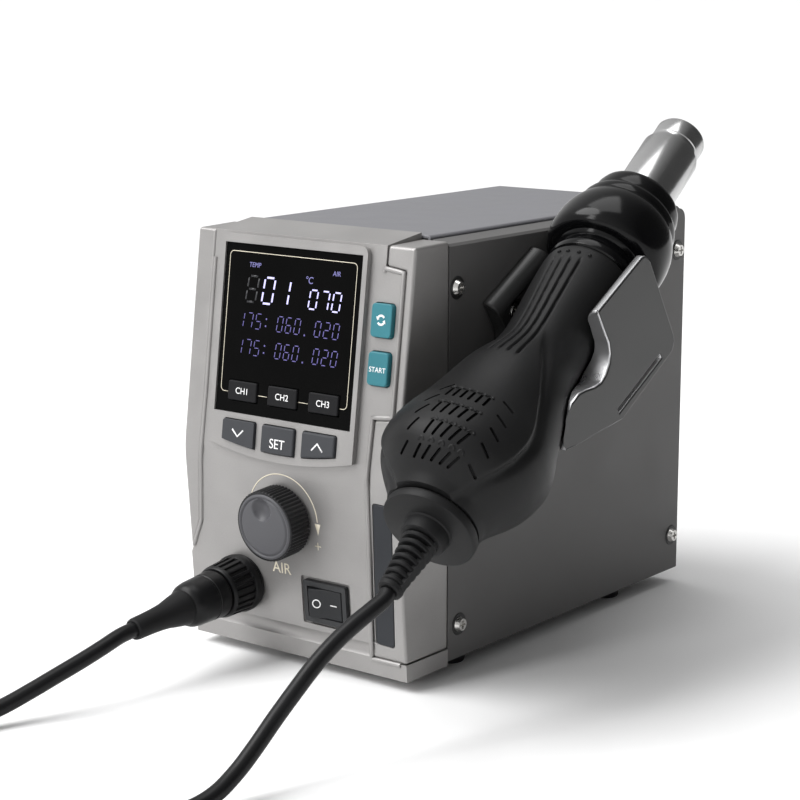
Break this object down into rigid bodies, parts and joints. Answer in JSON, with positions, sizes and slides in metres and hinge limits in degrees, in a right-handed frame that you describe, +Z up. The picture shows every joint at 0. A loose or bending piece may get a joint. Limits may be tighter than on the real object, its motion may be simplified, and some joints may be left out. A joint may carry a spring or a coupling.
{
  "type": "hot air rework station",
  "caption": "Hot air rework station: slim metal case with a slanted display panel, air knob, power rocker and plugged-in cable, and a blower gun resting in a side holder.",
  "frame": {"origin": "on the table, under the middle of the station with its holder and gun, leaving out the cable that lies in front", "axes": "+Z up; the display panel faces -Y; the holder and the gun are on the +X side of the case"},
  "size_m": [0.1587, 0.4193, 0.1921],
  "materials": {
    "case_metal": "fine matt charcoal powder coat",
    "cover_metal": "fine matt gray powder coat",
    "bezel_silver": "warm silver-gray metallic paint, fine texture",
    "smoked_plate": "dark smooth inlay",
    "black_window": "glossy black window",
    "display_dark": "dark display module",
    "key_black": "satin black",
    "key_gray": "satin dark gray",
    "key_teal": "satin teal",
    "circuit_board": "green circuit board",
    "knob_gray": "satin gray face, knurled black skirt",
    "zinc": "zinc-plated steel",
    "switch_gray": "satin dark gray",
    "rocker_black": "semi-gloss black",
    "plug_black": "semi-gloss black",
    "soft_rubber": "matt black rubber",
    "cable_rubber": "satin black rubber jacket",
    "holder_aluminium": "satin gray cast aluminium",
    "brass": "brass",
    "inlet_black": "matt black",
    "gun_black": "matt black",
    "collar_black": "glossy black",
    "barrel_steel": "polished stainless steel",
    "ceramic": "white ceramic",
    "impeller_white": "moulded white"
  },
  "bodies": {
    "station": {"base_plate": "case_metal", "left_side_panel": "case_metal", "right_side_panel": "case_metal", "top_cover": "cover_metal", "rear_panel": "case_metal", "front_bezel": "bezel_silver", "left_trim": "bezel_silver", "right_trim": "bezel_silver", "badge_plate": "smoked_plate", "display_frame": "bezel_silver", "display_glass": "black_window", "display_module": "display_dark", "key_board": "circuit_board", "knob_pot": "zinc", "pot_nut": "zinc", "switch_frame": "switch_gray", "gun_socket": "zinc", "socket_nut": "zinc", "plug_body": "plug_black", "plug_sleeve": "soft_rubber", "cord_plug_leg": "cable_rubber", "cord_coil": "cable_rubber", "cord_gun_leg": "cable_rubber", "gun_holder": "holder_aluminium", "holder_screws": "zinc", "feet": "soft_rubber", "case_screws": "zinc", "control_board": "circuit_board", "power_module": "circuit_board", "board_standoffs": "brass", "heat_sink": "holder_aluminium", "mains_inlet": "inlet_black", "inlet_screws": "zinc"},
    "air_knob": {"air_knob": "knob_gray"},
    "power_rocker": {"power_rocker": "rocker_black"},
    "coupling_ring": {"coupling_ring": "plug_black"},
    "gun": {"gun_shell_left": "gun_black", "gun_shell_right": "gun_black", "gun_butt_cap": "gun_black", "gun_strain_relief": "soft_rubber", "clamp_ring": "collar_black", "gun_collar": "collar_black", "barrel": "barrel_steel", "heater_core": "ceramic", "mica_sleeve": "ceramic", "blower_motor": "zinc"},
    "impeller": {"impeller": "impeller_white"},
    "ch1_key": {"ch1_key": "key_black"},
    "ch2_key": {"ch2_key": "key_black"},
    "ch3_key": {"ch3_key": "key_black"},
    "down_key": {"down_key": "key_gray"},
    "set_key": {"set_key": "key_gray"},
    "up_key": {"up_key": "key_gray"},
    "mode_key": {"mode_key": "key_teal"},
    "start_key": {"start_key": "key_teal"}
  },
  "joints": [
    {"name": "ch1_key_press", "type": "slide", "parent": "station", "child": "ch1_key", "axis": [0, 0.9917, -0.1288], "range_m": [0, 0.0008], "stiffness_N_per_m": 250, "springref_m": -0.0004},
    {"name": "ch2_key_press", "type": "slide", "parent": "station", "child": "ch2_key", "axis": [0, 0.9917, -0.1288], "range_m": [0, 0.0008], "stiffness_N_per_m": 250, "springref_m": -0.0004},
    {"name": "ch3_key_press", "type": "slide", "parent": "station", "child": "ch3_key", "axis": [0, 0.9917, -0.1288], "range_m": [0, 0.0008], "stiffness_N_per_m": 250, "springref_m": -0.0004},
    {"name": "down_key_press", "type": "slide", "parent": "station", "child": "down_key", "axis": [0, 0.9917, -0.1288], "range_m": [0, 0.0008], "stiffness_N_per_m": 250, "springref_m": -0.0004},
    {"name": "set_key_press", "type": "slide", "parent": "station", "child": "set_key", "axis": [0, 0.9917, -0.1288], "range_m": [0, 0.0008], "stiffness_N_per_m": 250, "springref_m": -0.0004},
    {"name": "up_key_press", "type": "slide", "parent": "station", "child": "up_key", "axis": [0, 0.9917, -0.1288], "range_m": [0, 0.0008], "stiffness_N_per_m": 250, "springref_m": -0.0004},
    {"name": "mode_key_press", "type": "slide", "parent": "station", "child": "mode_key", "axis": [0, 0.9917, -0.1288], "range_m": [0, 0.0008], "stiffness_N_per_m": 250, "springref_m": -0.0004},
    {"name": "start_key_press", "type": "slide", "parent": "station", "child": "start_key", "axis": [0, 0.9917, -0.1288], "range_m": [0, 0.0008], "stiffness_N_per_m": 250, "springref_m": -0.0004},
    {"name": "air_knob_turn", "type": "hinge", "parent": "station", "child": "air_knob", "pos_m": [-0.0304, -0.06617, 0.0553], "axis": [0, -0.9968, -0.0802], "range_deg": [-150, 130]},
    {"name": "power_rocker_tilt", "type": "hinge", "parent": "station", "child": "power_rocker", "pos_m": [-0.0133, -0.06166, 0.02668], "axis": [0, -0.0802, 0.9968], "range_deg": [-18, 0]},
    {"name": "coupling_ring_turn", "type": "hinge", "parent": "station", "child": "coupling_ring", "pos_m": [-0.0524, -0.06398, 0.028], "axis": [0, -0.9968, -0.0802], "range_deg": [0, 90]},
    {"name": "gun_lift", "type": "slide", "parent": "station", "child": "gun", "axis": [0, -0.4924, 0.8704], "range_m": [0, 0.06]},
    {"name": "impeller_spin", "type": "hinge", "parent": "gun", "child": "impeller", "pos_m": [0.05247, -0.07851, 0.07936], "axis": [-0.0658, 0.8361, 0.5446], "continuous": true}
  ]
}
